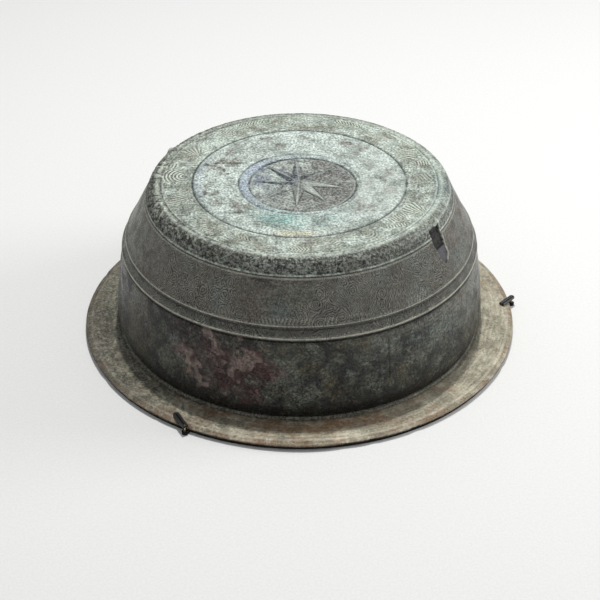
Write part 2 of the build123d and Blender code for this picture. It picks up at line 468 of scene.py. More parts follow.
        masks["cool"] += (0.6 + 0.5 * grain[9.0]) * blot(theta, s, radius, -88, 88, 44, 15)
        masks["cool"] += blot(theta, s, radius, -108, 84, 16, 12)
        masks["warm"] += blot(theta, s, radius, -91, 113, 25, 5)
        return (
            -0.8 * on_disc + 0.7 * on_ray * on_disc - 0.45 * outlined * on_disc - 0.7 * ring - 0.6 * outer
            - 0.35 * pits - 0.2 * hub + (0.10 * grain[2.7] + 0.08 * grain[5.0]) * band(0, 117, 2, s)
        )

    def _border(self, theta: Array, s: Array, radius: Array, grain: dict, masks: dict) -> Array:
        """Groove, ornament band and the fine rings before the lip."""
        dashed = 1.0 - 0.6 * towards(theta, 0, 14) * smooth(-0.2, 0.2, grain[9.0])
        groove = line(self.field_r, 1.5, s) * dashed
        fine_ring = line(self.border_r, 0.8, s)
        double = line(self.border_r - 3.0, 0.7, s) * towards(theta, -75, 50)
        lines, patch = np.zeros_like(s), np.zeros_like(s)
        near = (s > self.field_r) & (s < self.border_r + 3)
        if near.any():
            for motif in FACE_MOTIFS:
                drawn, inside = motif.lines(theta[near], s[near], radius[near])
                lines[near] = np.maximum(lines[near], drawn)
                patch[near] = np.maximum(patch[near], inside)
        on_band = band(self.field_r + 3, self.border_r - 2, 1.2, s)
        lines *= on_band * (0.8 + 0.35 * grain[9.0] + 0.3 * grain[5.0])
        # shallow scratches: patches of the fine noise on the band
        worked = smooth(0.15, 0.6, grain[5.0] * 0.6 + grain[2.7] * 0.7) * on_band
        edge_light = line(self.border_r + 4.0, 2.6, s)
        masks["raised"] += 1.5 * lines + 0.45 * edge_light + 0.5 * line(self.border_r - 1.6, 0.7, s)
        masks["grime"] += (
            0.95 * patch * on_band * (1 - 0.6 * lines)
            + 0.3 * on_band * smooth(-0.1, 0.5, grain[9.0] + 0.5 * grain[5.0])
        )
        masks["incised"] += groove * 0.95 + 0.55 * fine_ring + 0.5 * double
        masks["pitted"] += 0.55 * worked * (0.4 + 0.6 * towards(theta, -165, 50))
        masks["brown"] += 0.45 * on_band * smooth(-0.3, 0.5, grain[21.0])
        masks["cool"] += 0.6 * line(self.border_r + 2, 6, s) * towards(theta, -5, 18)
        return 0.7 * lines - 1.1 * groove - 0.4 * fine_ring - 0.35 * double - 0.25 * worked

    def _lip(self, theta: Array, s: Array, radius: Array, grain: dict, masks: dict) -> Array:
        """Corroded edge of the face: coarse at the left and front, sound at the right."""
        start, end = self.outline.ends["face"], self.outline.ends["shoulder"]
        rough = np.clip(
            towards(theta, 178, 48) + towards(theta, -135, 42) + towards(theta, -88, 38)
            + 0.35 * towards(theta, 100, 60),
            0.06, 1.0,
        )
        edge = (
            start - 3.0 - 4.0 * towards(theta, 175, 60) + 2.0 * grain[21.0] + 2.5 * grain[9.0]
            + 2.0 * grain[5.0] + 2.0 * grain[2.7]
        )
        on_lip = smooth(-1.0, 1.5, s - edge) * (1 - smooth(end - 5, end + 1, s))
        spread = smooth(start - 20, start + 3, s) * (1 - smooth(end - 3, end + 2, s)) * rough
        pits = (
            smooth(0.05, 0.4, 0.35 * grain[5.0] + 0.7 * grain[2.7] + 0.6 * grain[1.6] + 0.2 * grain[9.0])
            * spread
        )
        crumbs = smooth(0.15, 0.5, -0.5 * grain[2.7] - 0.6 * grain[1.6] - 0.3 * grain[5.0]) * on_lip * rough
        rings = on_lip * (1 - rough) * np.cos(2 * pi * s / 2.6)
        burr = blot(theta, s, radius, 153.5, start + 6.5, 5.5, 2.6)
        sound = towards(theta, 12, 42) * (1 - smooth(-1.0, 6.0, s - self.outline.ends["lip"]))
        down = smooth(start, end - 2, s)
        masks["grime"] += on_lip * (1.0 + 0.4 * down + 0.2 * grain[9.0]) * (1 - 0.7 * sound)
        masks["pitted"] += pits
        masks["raised"] += (
            0.6 * crumbs * (1 - 0.75 * down) * smooth(-0.3, 0.4, grain[9.0]) + burr * 0.5
            + 0.5 * on_lip * line(self.outline.ends["lip"] - 1.0, 1.2, s) * towards(theta, 20, 60)
        )
        masks["warm"] += 0.55 * on_lip * rough * smooth(0.0, 0.6, grain[9.0])
        masks["blue"] += 0.5 * towards(theta, -8, 10) * band(start - 6, end, 3, s)
        return -0.85 * pits + 0.35 * crumbs + 0.10 * rings + 2.6 * burr

    def _cone(self, theta: Array, s: Array, radius: Array, grain: dict, masks: dict) -> Array:
        """Straight shoulder: a double line at its top and slanting strokes on the ridge."""
        top, foot = self.outline.ends["shoulder"], self.outline.ends["cone"]
        on_cone = band(top, foot, 2, s)
        upper, lower = line(top + 0.4, 0.8, s), line(top - 3.0, 0.7, s)
        # short strokes: cos(count * theta + slant * s), the slant turning over by groups
        slant = np.where(np.cos(9 * theta + 1.0) > 0, 1.0, -1.0) * (s - foot) / self.stroke_slant
        strokes = smooth(0.0, 0.8, np.cos(self.stroke_count * theta + slant))
        strokes *= band(foot - 8.5, foot - 2.2, 0.8, s) * smooth(-0.35, 0.3, grain[21.0] + 0.4 * grain[9.0])
        strokes *= 0.15 + 0.85 * np.clip(towards(theta, -75, 35) + 0.5 * towards(theta, 60, 90), 0, 1)
        ledge = smooth(0.1, 0.5, grain[9.0]) * line(top + 5, 3, s) * towards(theta, -95, 35)
        masks["incised"] += 0.7 * upper + 0.45 * lower * towards(theta, -60, 70) + 0.5 * ledge
        masks["raised"] += 0.55 * strokes + 0.5 * line(top + 2.3, 0.8, s) + 0.4 * line(top - 1.3, 0.7, s)
        masks["brown"] += on_cone * (0.4 + 0.4 * grain[60.0] + 0.2 * grain[21.0])
        masks["cool"] += 0.8 * on_cone * smooth(-0.1, 0.8, grain[21.0] + 0.5 * towards(theta, -45, 25))
        return (
            0.25 * strokes - 0.45 * upper - 0.3 * lower - 0.35 * ledge
            + on_cone * (0.07 * grain[5.0] + 0.05 * grain[2.7])
        )

    def _ridges(self, theta: Array, s: Array, radius: Array, grain: dict, masks: dict) -> Array:
        """Two ridges round the ring, the upper one notched like a cord at the front; their crests carry a
        painted highlight and the lower one has painted shade beneath it.
        """
        upper, lower = self.outline.ends["cone"], self.outline.ends["ridges"]
        bump = [np.clip(1 - ((s - at) / self.ridge_half_w) ** 2, 0, None) for at in (upper, lower)]
        notch = smooth(0.2, 0.9, np.cos(theta * radius / 2.9 * 2 * pi + 0.4 * s)) * (
            0.25 + 0.75 * towards(theta, -72, 32)
        )
        # a shallow groove under the lower ridge, darkened further by painted shade
        under = line(lower + 3.4, 1.5, s)
        # painted highlight: the tops of both ridges take the pale crest colour
        masks["raised"] += smooth(0.84, 1.0, bump[0]) * (1.0 - 0.7 * notch) + 1.1 * smooth(
            0.86, 1.0, bump[1]
        )
        # painted highlight: the shoulder's tan colour on top of the lower ridge, stronger at the front
        masks["warm"] += 0.4 * smooth(0.8, 1.0, bump[1]) * (0.5 + 0.5 * towards(theta, -90, 60))
        masks["incised"] += 0.55 * line(upper - 3.4, 0.9, s) * towards(theta, -80, 60)
        masks["incised"] += 1.1 * under + 0.7 * line(upper + 3.4, 1.1, s) + 0.4 * notch * bump[0]
        masks["grime"] += 0.35 * band(upper + 2, lower - 2, 1.2, s)
        worn = 0.85 + 0.15 * grain[21.0]
        return self.ridge_rise * worn * (bump[0] * (1 - 0.35 * notch) + bump[1]) - 0.3 * under

    def _wall(self, theta: Array, s: Array, radius: Array, grain: dict, masks: dict) -> Array:
        """Bulging wall: tool lines, stains, the casting seam, and painted shade on the foot where the belly
        curls in.
        """
        top, foot = self.outline.ends["ridges"] + 3, self.outline.ends["neck"]
        on_wall = band(top, foot, 2, s)
        seam = line(0.0, 1.4, turned(theta, self.seam_polar) * radius) * band(
            top + 12, top + 62, 6, s
        )
        scratch = line(top + 12, 1.0, s + 0.6 * grain[60.0]) * towards(theta, -82, 14) * smooth(
            -0.2, 0.2, grain[9.0]
        )
        turning = sum(line(top + d, 0.9, s) for d in (3.5, 7.0, 11.0, 16.0)) * (
            0.15 + 0.85 * towards(theta, -38, 30)
        )
        purple = 1.25 * blot(theta, s, radius, -114, top + 40, 56, 46)
        purple += 0.8 * blot(theta, s, radius, -128, top + 12, 24, 14)
        blotch = smooth(0.0, 0.5, grain[21.0] + 0.7 * grain[9.0] + 0.35 * grain[5.0] + 0.15)
        flaked = smooth(0.12, 0.42, 0.7 * grain[9.0] + 0.6 * grain[5.0])
        masks["warm"] += (
            on_wall * smooth(0.25, 0.7, purple + 0.35 * grain[21.0] + 0.25 * grain[9.0])
            * (0.5 + 0.5 * blotch)
        )
        masks["brown"] += on_wall * (
            blot(theta, s, radius, -149, top + 46, 22, 34)
        )
        masks["brown"] += (
            0.5 * on_wall * smooth(0.1, 0.6, grain[9.0] - 0.7 * grain[21.0]) * (1 - np.clip(purple, 0, 1))
        )
        masks["cool"] += on_wall * (1 - 0.8 * np.clip(purple, 0, 1)) * (
            0.9 * blot(theta, s, radius, -131, top + 26, 9, 8)
            + 0.55 * blot(theta, s, radius, -40, top + 22, 34, 22)
            + 0.5 * flaked * smooth(-0.2, 0.4, grain[60.0] + grain[21.0])
        )
        masks["incised"] += 0.75 * scratch + 0.65 * seam + 0.4 * turning * smooth(-0.4, 0.3, grain[21.0])
        masks["raised"] += 0.6 * on_wall * smooth(0.3, 0.75, purple) * flaked
        masks["incised"] += (
            0.6 * on_wall * smooth(0.3, 0.8, purple) * line(0.0, 0.05, grain[9.0] - 0.3 * grain[5.0])
        )
        masks["raised"] += 0.3 * sum(line(top + d + 1.8, 0.9, s) for d in (3.5, 7.0, 11.0)) * towards(
            theta, -35, 26
        )
        # drips: noise of the polar angle alone runs down the wall
        drip_at = np.stack([40 * theta, 0 * s, 0.12 * (s - top)], axis=-1)
        drips = smooth(0.1, 0.7, self.fine(drip_at, 1.0)) * smooth(top + 20, foot - 20, s)
        # painted shade: the wall turns near-black over its last 34 mm down to the neck, as the belly shades
        # it; the drips are stains
        masks["grime"] += (
            smooth(foot - 34, foot - 4, s) * (1 - smooth(foot + 3, foot + 8, s)) + 0.35 * on_wall * drips
        )
        # darkens the left of the wall: partly a patina drift, partly painted shade on the side away from
        # the light at the right; the second term is blotchy grime
        masks["grime"] += (
            on_wall
            * (0.5 * towards(theta, 178, 50) + 0.5 * smooth(0.15, 0.6, -grain[21.0] - 0.4 * grain[9.0]))
        )
        masks["pitted"] += on_wall * 0.6 * smooth(0.25, 0.65, grain[5.0] * 0.7 + grain[2.7] * 0.5) * (
            0.3 + 0.7 * np.clip(purple, 0, 1)
        )
        return (
            -0.4 * seam - 0.35 * scratch - 0.22 * turning
            + on_wall * (0.18 * grain[21.0] + (0.06 + 0.14 * purple) * grain[5.0])
        )

    def _rim(self, theta: Array, s: Array, radius: Array, grain: dict, masks: dict) -> Array:
        """Flange: casting skin, knocked crest, chipped bevel, and painted shade at the neck and on the
        outer edge face.
        """
        start, crest, rim = (self.outline.ends[n] for n in ("fillet", "flange", "bevel"))
        on_flange = smooth(start - 1, start + 2, s)
        chips = sum(
            depth * line(0.0, wide, turned(theta, polar) * radius)
            for polar, wide, depth in (
                (-79, 9, 1.1), (-72, 4, 1.3), (-60, 5, 1.5), (-24, 4, 0.7), (-150, 6, 0.8),
                (38, 6, 0.9), (100, 5, 1.0), (161, 5, 0.8), (-128, 3, 0.6), (66, 3, 0.8),
            )
        ) * smooth(crest + 1, rim, s)
        sandy = smooth(-0.1, 0.6, 0.6 * grain[5.0] + 0.6 * grain[2.7])
        front = towards(theta, -50, 70)
        masks["raised"] += line(crest, 1.6, s) * (0.15 + 0.35 * front) * (0.7 + 0.5 * grain[9.0])
        masks["raised"] += 0.22 * on_flange * sandy * smooth(-0.3, 0.4, grain[21.0])
        masks["incised"] += 0.2 * line(crest + 2.4, 1.0, s) * on_flange
        masks["pitted"] += on_flange * 0.3 * smooth(0.4, 0.8, 0.6 * grain[5.0] - 0.6 * grain[2.7])
        # streaks of the turning: the same noise drawn out round the ring
        streak_at = np.stack([6 * theta, 0 * s, 0.9 * (s - start)], axis=-1)
        streaks = self.fine(streak_at, 2.0)
        # painted shade: the flange's outer edge face, below the bevel, takes the near-black line colour
        # because it stands in shade
        below = smooth(rim + 0.3, rim + 1.1, s)
        masks["incised"] += 1.2 * below
        masks["brown"] += on_flange * (
            (0.25 + 0.5 * towards(theta, -140, 55)) * smooth(crest - 1, crest + 3, s)
            + (0.75 + 0.4 * streaks) * (1 - smooth(start + 10, start + 26, s)) * towards(theta, -85, 28)
            + (0.3 + 0.3 * towards(theta, -130, 60)) * smooth(0.0, 0.6, grain[21.0] + 0.6 * grain[9.0])
        )
        masks["warm"] += (
            on_flange * smooth(crest - 9, crest - 1, s) * towards(theta, -165, 42)
            * smooth(-0.4, 0.4, grain[9.0])
        )
        # painted shade: a dark ring where the flange meets the neck
        masks["grime"] += on_flange * (
            0.8 * (1 - smooth(start - 2, start + 2, s))
            # darker on the left: partly the patina's own tone, partly painted shade standing in for the
            # dark room that the glossy flange reflects there
            + towards(theta, -178, 52) * (1.0 + 0.5 * grain[21.0] + 0.3 * grain[9.0])
            + 0.6 * smooth(0.1, 0.6, -grain[9.0] - 0.4 * grain[21.0]) * towards(theta, -145, 60)
        )
        lumps = on_flange * (0.05 * grain[5.0] + 0.04 * grain[2.7] - 0.05)
        warp = 1.1 * towards(theta, -88, 13) * smooth(crest - 34, rim, s)
        return lumps + warp - chips

    def _break(self, theta: Array, s: Array, radius: Array, grain: dict, masks: dict) -> Array:
        """Wedge split out of the shoulder: inside distance to its outline, stepped down."""
        foot = self.outline.on_cone(self.break_foot_h)
        u, v = turned(theta, self.break_polar) * radius, foot - s
        corners = np.array(self.break_corners)
        inside = np.full_like(s, 1e3)
        for a, b in zip(corners, np.roll(corners, -1, axis=0)):
            edge = (b - a) / np.linalg.norm(b - a)
            inside = np.minimum(inside, edge[0] * (v - a[1]) - edge[1] * (u - a[0]))
        inside = inside + smooth(16, 26, v) * (1.1 + 1.2 * grain[5.0] + 0.7 * grain[2.7])
        sunk = smooth(-0.35, 0.75, inside)
        open_part = smooth(19, 22, v)
        masks["broken"] += sunk
        masks["raised"] *= 1 - sunk
        masks["incised"] *= 1 - sunk
        # painted highlight: a pale line along the right edge of the break, where the broken wall's
        # thickness catches the light
        masks["raised"] += 0.8 * line(-1.1, 0.8, inside) * smooth(0, 4, u) * smooth(-3, 2, v)
        masks["pitted"] += sunk * open_part * smooth(-0.1, 0.5, grain[2.7])
        return -sunk * (self.break_depth + open_part * (0.45 * grain[5.0] + 0.5 * grain[2.7] - 0.3))


# ---------------------------------------------------------------- meshes


def make_mesh(name: str, points: Array, quads: Array, triangles: Array | None = None) -> bpy.types.Object:
    """One smooth-shaded mesh object at the origin.

    Args:
        name: the piece's name.
        points: corner positions in metres, one row each.
        quads: corner numbers of the four-sided faces, counter-clockwise from outside.
        triangles: the same for three-sided faces.

    Returns:
        The object, linked to the scene.
    """
    mesh = bpy.data.meshes.new(name)
    triangles = np.empty((0, 3), np.int64) if triangles is None else triangles
    corners = np.concatenate([quads.ravel(), triangles.ravel()]).astype(np.int32)
    sizes = np.concatenate([np.full(len(quads), 4), np.full(len(triangles), 3)])
    mesh.vertices.add(len(points))
    mesh.vertices.foreach_set("co", points.astype(np.float32).ravel())
    mesh.loops.add(len(corners))
    mesh.loops.foreach_set("vertex_index", corners)
    mesh.polygons.add(len(sizes))
    mesh.polygons.foreach_set("loop_start", (np.cumsum(sizes) - sizes).astype(np.int32))
    mesh.update(calc_edges=True)
    mesh.validate()
    mesh.polygons.foreach_set("use_smooth", np.ones(len(sizes), bool))
    mesh.set_sharp_from_angle(angle=radians(SHARP_EDGE))
    thing = bpy.data.objects.new(name, mesh)
    bpy.context.scene.collection.objects.link(thing)
    return thing


def grid_quads(rows: int, columns: int, close_rows: bool) -> Array:
    """Faces of a grid whose columns close round the ring, and whose rows may close too."""
    i = np.arange(rows if close_rows else rows - 1)[:, None]
    j = np.arange(columns)[None, :]
    below, beside = (i + 1) % rows, (j + 1) % columns
    corners = (i * columns + j, below * columns + j, below * columns + beside, i * columns + beside)
    return np.stack(np.broadcast_arrays(*corners), axis=-1).reshape(-1, 4)


@dataclass
class BronzeRing:
    """One closed ring-shaped piece of the bronze between two arc lengths."""

    name: str
    start: float
    end: float
    columns: int
    spacing: float
    inner_rows: int = 8

    def build(self, outline: BronzeOutline, relief: BronzeRelief, top: float) -> bpy.types.Object:
        """Build the piece.

        The outside is P(s) + n(s) * relief(theta, s) turned about Z; the inside is P(s) less the
        wall's thickness along n(s). Both sheets are one closed loop of rows.

        Args:
            outline: the line that is turned.
            relief: what is laid on it.
            top: height of the flange's top face, in mm.

        Returns:
            The object, with the masks as vertex attributes.
        """
        rows = max(3, int(round((self.end - self.start) / self.spacing)) + 1)
        s_rows = np.linspace(self.start, self.end, rows)
        if self.start == 0.0:
            s_rows = s_rows[1:]
        theta = np.linspace(0, 2 * pi, self.columns, endpoint=False)
        s_grid, theta_grid = np.meshgrid(s_rows, theta, indexing="ij")
        point, normal = outline.at(s_grid)
        lift, masks = relief(theta_grid, s_grid)
        section = point + normal * lift[..., None]
        inner = self.inside(outline)
        inner = np.broadcast_to(inner[:, None, :], (len(inner), self.columns, 2))
        section = np.concatenate([section, inner])
        theta_all = np.broadcast_to(theta, section.shape[:2])
        points = np.stack(
            [section[..., 0] * np.cos(
                theta_all
            ), section[..., 0] * np.sin(theta_all), section[..., 1] + top],
            axis=-1,
        ).reshape(-1, 3)
        closes = self.start > 0.0
        quads = grid_quads(len(section), self.columns, closes)
        triangles = None
        if not closes:
            heights = [outline.points[0, 1], outline.points[0, 1] - outline.wall]
            poles = np.array([[0.0, 0.0, h + top] for h in heights])
            first = np.arange(self.columns)
            following = (first + 1) % self.columns
            last = (len(section) - 1) * self.columns
            pole = len(points)
            triangles = np.concatenate([
                np.stack([np.full_like(first, pole), first, following], axis=1),
                np.stack([last + first, np.full_like(first, pole + 1), last + following], axis=1),
            ])
            points = np.concatenate([points, poles])
        thing = make_mesh(self.name, points * MM, quads, triangles)
        for name, mask in masks.items():
            values = np.zeros(len(points), np.float32)
            values[: mask.size] = mask.ravel()
            thing.data.attributes.new(name, "FLOAT", "POINT").data.foreach_set("value", values)
        return thing

    def inside(self, outline: BronzeOutline) -> Array:
        """The inner line of the piece, from its end back to its start."""
        s_rows = np.linspace(self.end, self.start, self.inner_rows)
        if self.start == 0.0:
            s_rows = s_rows[:-1]
        point, normal = outline.at(s_rows)
        return point - outline.wall * normal


@dataclass
class BronzeFlange(BronzeRing):
    """The flange: its underside is flat and turns up into the mouth at the neck."""

    def inside(self, outline: BronzeOutline) -> Array:
        """Underside from the edge to the mouth, then up the mouth to the neck."""
        mouth = outline.neck[0] - outline.wall
        under = np.linspace(outline.flange_r - 1.0, mouth, self.inner_rows)
        flat = np.stack([under, np.full_like(under, -outline.wall)], axis=1)
        return np.concatenate(
            [flat, [[mouth, outline.neck[1] / 2 - outline.wall / 2], [mouth, outline.neck[1]]]]
        )


# ---------------------------------------------------------------- shader nodes


class Sheet:
    """Short hand for laying nodes in one node tree."""

    def __init__(self, tree: bpy.types.NodeTree) -> None:
        """Start on an empty tree."""
        self.tree = tree
        tree.nodes.clear()

    def node(self, kind: str, inputs: dict | None = None, **settings: object) -> bpy.types.Node:
        """Add a node, set its options, and feed or fill its inputs by name or number."""
        made = self.tree.nodes.new(kind)
        for name, value in settings.items():
            setattr(made, name, value)
        for key, value in (inputs or {}).items():
            self.feed(made.inputs[key], value)
        return made

    def feed(self, socket: Socket, value: object) -> None:
        """Link a socket to a socket, or set a constant on it."""
        if isinstance(value, bpy.types.NodeSocket):
            self.tree.links.new(value, socket)
        elif isinstance(value, tuple) and len(value) == 3 and socket.type == "RGBA":
            socket.default_value = (*value, 1.0)
        else:
            socket.default_value = value

    def math(self, operation: str, *values: object, clamp: bool = False) -> Socket:
        """One Math node on sockets or numbers."""
        return self.node(
            "ShaderNodeMath", dict(enumerate(values)), operation=operation, use_clamp=clamp
        ).outputs[0]

    def times(self, first: object, second: object, clamp: bool = False) -> Socket:
        """Product of two values."""
        return self.math("MULTIPLY", first, second, clamp=clamp)

    def plus(self, first: object, second: object, clamp: bool = False) -> Socket:
        """Sum of two values."""
        return self.math("ADD", first, second, clamp=clamp)

    def minus(self, first: object, second: object, clamp: bool = False) -> Socket:
        """First value less the second."""
        return self.math("SUBTRACT", first, second, clamp=clamp)

    def mix(self, share: object, first: object, second: object, mode: str = "MIX") -> Socket:
        """Colour mix of two colours by a share."""
        inputs = {0: share, 6: first, 7: second}
        made = self.node("ShaderNodeMix", inputs, data_type="RGBA", blend_type=mode, clamp_factor=True)
        return made.outputs[2]

    def step(self, value: object, low: float, high: float, bottom: float = 0.0, top: float = 1.0) -> Socket:
        """Smooth step of a value from bottom at low to top at high."""
        inputs = {"Value": value, "From Min": low, "From Max": high, "To Min": bottom, "To Max": top}
        return self.node("ShaderNodeMapRange", inputs, interpolation_type="SMOOTHSTEP").outputs["Result"]

    def noise(self, place: Socket, scale: float, detail: float = 4.0, rough: float = 0.55) -> Socket:
        """Noise about one half at so many cells to the metre."""
        inputs = {"Vector": place, "Scale": scale, "Detail": detail, "Roughness": rough}
        return self.node("ShaderNodeTexNoise", inputs).outputs["Fac"]

    def group(self, tree: bpy.types.NodeTree, inputs: dict) -> bpy.types.Node:
        """Place a shared node group."""
        return self.node("ShaderNodeGroup", inputs, node_tree=tree)

    def mask(self, name: str) -> Socket:
        """A mask that the mesh carries at its corners."""
        return self.node("ShaderNodeAttribute", attribute_name=name).outputs["Fac"]


def new_group(
    name: str, inputs: dict[str, str], outputs: dict[str, str]
) -> tuple[bpy.types.NodeTree, Sheet, dict, dict]:
    """An empty node group with named sockets.

    Args:
        name: the group's name.
        inputs: name to kind, "Float", "Color" or "Vector".
        outputs: the same for what it puts out.

    Returns:
        The tree, its sheet, the inner sockets of its inputs and those that its outputs take.
    """
    tree = bpy.data.node_groups.new(name, "ShaderNodeTree")
    for sockets, way in ((inputs, "INPUT"), (outputs, "OUTPUT")):
        for socket, kind in sockets.items():
            tree.interface.new_socket(name=socket, in_out=way, socket_type=f"NodeSocket{kind}")
    sheet = Sheet(tree)
    into, out = sheet.node("NodeGroupInput"), sheet.node("NodeGroupOutput")
    return tree, sheet, {n: into.outputs[n] for n in inputs}, {n: out.inputs[n] for n in outputs}


class SharedEffects:
    """Node groups that more than one finish uses, each built once."""

    def __init__(self) -> None:
        """Build them all."""
        self.place = self._place()
        self.mottle = self._mottle()
        self.pits = self._pits()
        self.engraving = self._engraving()
        self.dust = self._dust()
        self.drawn = self._drawn()

    def _place(self) -> bpy.types.NodeTree:
        """Flat map of the wall: polar angle times a mean radius, and height, in mm."""
        tree, sheet, _, out = new_group("polar place", {}, {"Unrolled": "Vector"})
        coords = sheet.node("ShaderNodeTexCoord").outputs["Object"]
        x, y, z = sheet.node("ShaderNodeSeparateXYZ", {0: coords}).outputs
        along = sheet.times(sheet.math("ARCTAN2", y, x), UNROLL_R)
        height = sheet.times(z, 1.0 / MM)
        flat = sheet.node("ShaderNodeCombineXYZ", {0: along, 1: height}).outputs[0]
        sheet.feed(out["Unrolled"], flat)
        return tree

    def _mottle(self) -> bpy.types.NodeTree:
        """Cloudy patina at three sizes: a broad drift, patches, and a fine grain."""
        tree, sheet, given, out = new_group(
            "patina mottle",
            {"Scale": "Float"},
            {n: "Float" for n in ("Broad", "Patch", "Grain", "Speck", "Streak", "Crack")},
        )
        coords = sheet.node("ShaderNodeTexCoord").outputs["Object"]
        for name, factor, detail, low, high in (
            (
                "Broad", 0.22, 3.0, 0.35, 0.65
            ), ("Patch", 1.0, 5.0, 0.36, 0.64), ("Grain", 6.5, 4.0, 0.38, 0.62),
        ):
            scale = sheet.times(given["Scale"], factor)
            value = sheet.node(
                "ShaderNodeTexNoise", {"Vector": coords, "Scale": scale, "Detail": detail, "Roughness": 0.6}
            ).outputs["Fac"]
            sheet.feed(out[name], sheet.step(value, low, high))
        scale = sheet.times(given["Scale"], 14.0)
        value = sheet.node(
            "ShaderNodeTexNoise", {"Vector": coords, "Scale": scale, "Detail": 2.0}
        ).outputs["Fac"]
        sheet.feed(out["Speck"], sheet.step(value, 0.56, 0.7))
        scale = sheet.times(given["Scale"], 2.6)
        value = sheet.node(
            "ShaderNodeTexNoise",
            {"Vector": coords, "Scale": scale, "Detail": 6.0, "Roughness": 0.62, "Distortion": 0.6},
        ).outputs["Fac"]
        away = sheet.math("ABSOLUTE", sheet.minus(value, 0.5))
        sheet.feed(out["Crack"], sheet.step(away, 0.0, 0.035, 1.0, 0.0))
        x, y, z = sheet.node("ShaderNodeSeparateXYZ", {0: coords}).outputs
        radius = sheet.math("SQRT", sheet.plus(sheet.times(x, x), sheet.times(y, y)))
        across = sheet.minus(z, radius)
        bent = sheet.times(sheet.math("ARCTAN2", y, x), 0.03)
        ribbon = sheet.node("ShaderNodeCombineXYZ", {0: bent, 1: across}).outputs[0]
        scale = sheet.times(given["Scale"], 5.0)
        value = sheet.node(
            "ShaderNodeTexNoise", {"Vector": ribbon, "Scale": scale, "Detail": 5.0, "Roughness": 0.65}
        ).outputs["Fac"]
        sheet.feed(out["Streak"], sheet.step(value, 0.38, 0.64))
        return tree

    def _pits(self) -> bpy.types.NodeTree:
        """Scattered small pits: cells of a Voronoi pattern, of which only some hold a pit."""
        tree, sheet, given, out = new_group(
            "small pits", {"Scale": "Float", "Share": "Float", "Size": "Float"}, {"Pits": "Float"}
        )
        coords = sheet.node("ShaderNodeTexCoord").outputs["Object"]
        bend = sheet.node(
            "ShaderNodeTexNoise", {"Vector": coords, "Scale": 900.0, "Detail": 1.0}
        ).outputs["Color"]
        bent = sheet.node(
            "ShaderNodeVectorMath", {0: bend, 1: (0.0016, 0.0016, 0.0016)}, operation="MULTIPLY"
        ).outputs[0]
        place = sheet.node("ShaderNodeVectorMath", {0: coords, 1: bent}, operation="ADD").outputs[0]
        cells = sheet.node("ShaderNodeTexVoronoi", {"Vector": place, "Scale": given["Scale"]})
        chosen = sheet.math(
            "LESS_THAN", sheet.node("ShaderNodeSeparateColor", {0: cells.outputs["Color"]}).outputs[0],
            given["Share"]
        )
        depth = sheet.minus(1.0, sheet.math("DIVIDE", cells.outputs["Distance"], given["Size"]), clamp=True)
        sheet.feed(out["Pits"], sheet.times(chosen, sheet.step(depth, 0.0, 0.6)))
        return tree

    def _engraving(self) -> bpy.types.NodeTree:
        """Fine line work on the unrolled wall: whorls of concentric arcs in uneven cells, and
        slanting hatching in other cells."""
        tree, sheet, given, out = new_group(
            "whorls and hatching",
            {"Unrolled": "Vector", "Cell": "Float", "Pitch": "Float", "Slant": "Float"},
            {"Whorls": "Float", "Hatching": "Float"},
        )
        inverse = sheet.math("DIVIDE", 1.0, given["Cell"])
        bend = sheet.node(
            "ShaderNodeTexNoise", {"Vector": given["Unrolled"], "Scale": 0.16, "Detail": 2.0}
        ).outputs["Color"]
        bend = sheet.node(
            "ShaderNodeVectorMath", {0: bend, 1: (6.0, 6.0, 0.0)}, operation="MULTIPLY"
        ).outputs[0]
        place = sheet.node(
            "ShaderNodeVectorMath", {0: given["Unrolled"], 1: bend}, operation="ADD"
        ).outputs[0]
        cells = sheet.node(
            "ShaderNodeTexVoronoi",
            {"Vector": place, "Scale": inverse, "Randomness": 0.8},
            voronoi_dimensions="2D",
        )
        distance = sheet.times(cells.outputs["Distance"], given["Cell"])
        turns = sheet.times(sheet.math("DIVIDE", distance, given["Pitch"]), 2 * pi)
        whorls = sheet.step(sheet.math("COSINE", turns), -0.1, 0.9)
        chance = sheet.node("ShaderNodeSeparateColor", {0: cells.outputs["Color"]}).outputs
        u, v, _ = sheet.node("ShaderNodeSeparateXYZ", {0: place}).outputs
        flip = sheet.minus(sheet.times(sheet.math("GREATER_THAN", chance[1], 0.5), 2.0), 1.0)
        slanted = sheet.plus(u, sheet.times(sheet.times(v, given["Slant"]), flip))
        rows = sheet.times(sheet.math("DIVIDE", slanted, given["Pitch"]), 2 * pi)
        hatching = sheet.step(sheet.math("SINE", rows), 0.0, 0.9)
        has_hatching = sheet.math("GREATER_THAN", chance[0], 0.55)
        sheet.feed(out["Whorls"], sheet.times(whorls, sheet.minus(1.0, has_hatching)))
        sheet.feed(out["Hatching"], sheet.times(hatching, has_hatching))
        return tree

    def _dust(self) -> bpy.types.NodeTree:
        """Pale dust that has settled on what faces upwards, broken up by noise."""
        tree, sheet, given, out = new_group(
            "settled dust", {"Amount": "Float"}, {"Dust": "Float", "Lint": "Float"}
        )
        geometry = sheet.node("ShaderNodeNewGeometry")
        coords = sheet.node("ShaderNodeTexCoord").outputs["Object"]
        up = sheet.node("ShaderNodeSeparateXYZ", {0: geometry.outputs["True Normal"]}).outputs[2]
        cloud = sheet.step(sheet.noise(coords, 130.0, 5.0, 0.65), 0.4, 0.75)
        sheet.feed(out["Dust"], sheet.times(sheet.times(sheet.step(up, 0.1, 0.9), cloud), given["Amount"]))
        sheet.feed(out["Lint"], sheet.step(sheet.noise(coords, 1500.0, 2.0), 0.62, 0.72))
        return tree

